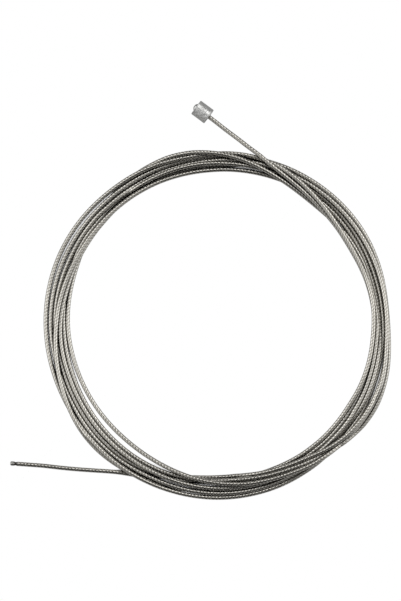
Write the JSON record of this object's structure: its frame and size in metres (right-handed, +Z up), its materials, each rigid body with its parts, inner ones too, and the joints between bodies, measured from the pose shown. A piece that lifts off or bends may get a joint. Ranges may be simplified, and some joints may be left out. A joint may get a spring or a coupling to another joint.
{
  "type": "bicycle shift cable",
  "caption": "Coiled inner cable for a gear shifter, with a cast barrel head at one end and a welded tip at the other",
  "frame": {"origin": "Middle of the bounding box on the surface that the coil lies on", "axes": "+Z is up, square to the flat coil. The strand leaves the head towards +X and -Y, and the welded tip points towards -X"},
  "size_m": [0.1022, 0.1069, 0.0044],
  "materials": {
    "wire_strand": "drawn stainless wires laid into a strand",
    "head_zinc": "die-cast zinc alloy, bright plated",
    "weld": "wires fused into a smooth bead"
  },
  "bodies": {
    "root": {"head": "head_zinc", "head_lead": "wire_strand", "coil": "wire_strand", "tail_lead": "wire_strand", "welded_tip": "weld"}
  },
  "joints": []
}
